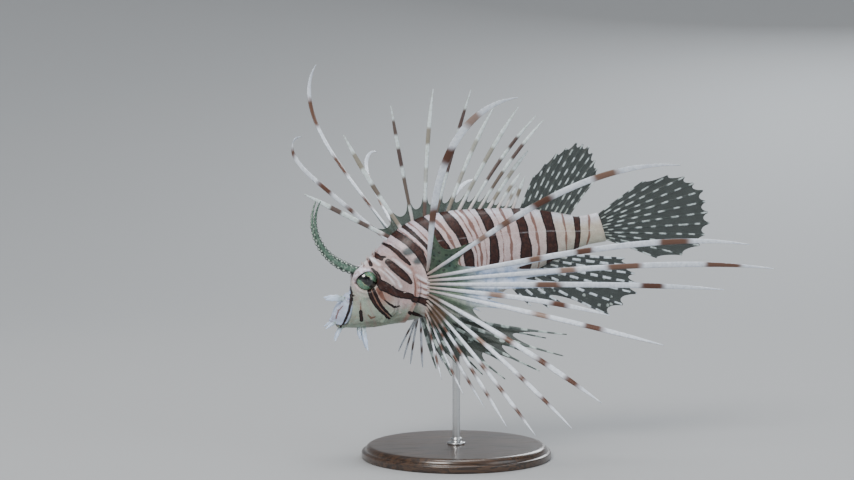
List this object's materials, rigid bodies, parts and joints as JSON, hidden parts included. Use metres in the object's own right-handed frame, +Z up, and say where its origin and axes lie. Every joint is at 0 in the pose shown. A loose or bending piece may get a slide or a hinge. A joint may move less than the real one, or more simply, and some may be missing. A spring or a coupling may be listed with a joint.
{
  "type": "red lionfish display model",
  "caption": "Life-size lionfish with banded body, feathery spines and fan-like side fins, nose down over a round base on one rod.",
  "frame": {"origin": "centre of the underside of the stand's round base", "axes": "+Z up, the fish's nose towards -X, its left side towards -Y"},
  "size_m": [0.2057, 0.1814, 0.1845],
  "materials": {
    "skin": "satin painted cast with pale and red-brown bands",
    "fin": "thin translucent painted cast with banded rays",
    "eye": "wet gloss",
    "base_wood": "black lacquer",
    "rod_steel": "brushed"
  },
  "bodies": {
    "root": {"head": "skin", "torso": "skin", "tail": "skin", "left_eye": "eye", "right_eye": "eye", "left_brow_tentacle": "fin", "right_brow_tentacle": "fin", "dorsal_spines": "fin", "soft_dorsal_fin": "fin", "tail_fin": "fin", "anal_fin": "fin", "left_pelvic_fin": "fin", "right_pelvic_fin": "fin", "left_pectoral_fin": "fin", "right_pectoral_fin": "fin", "stand_base": "base_wood", "stand_rod": "rod_steel"}
  },
  "joints": []
}
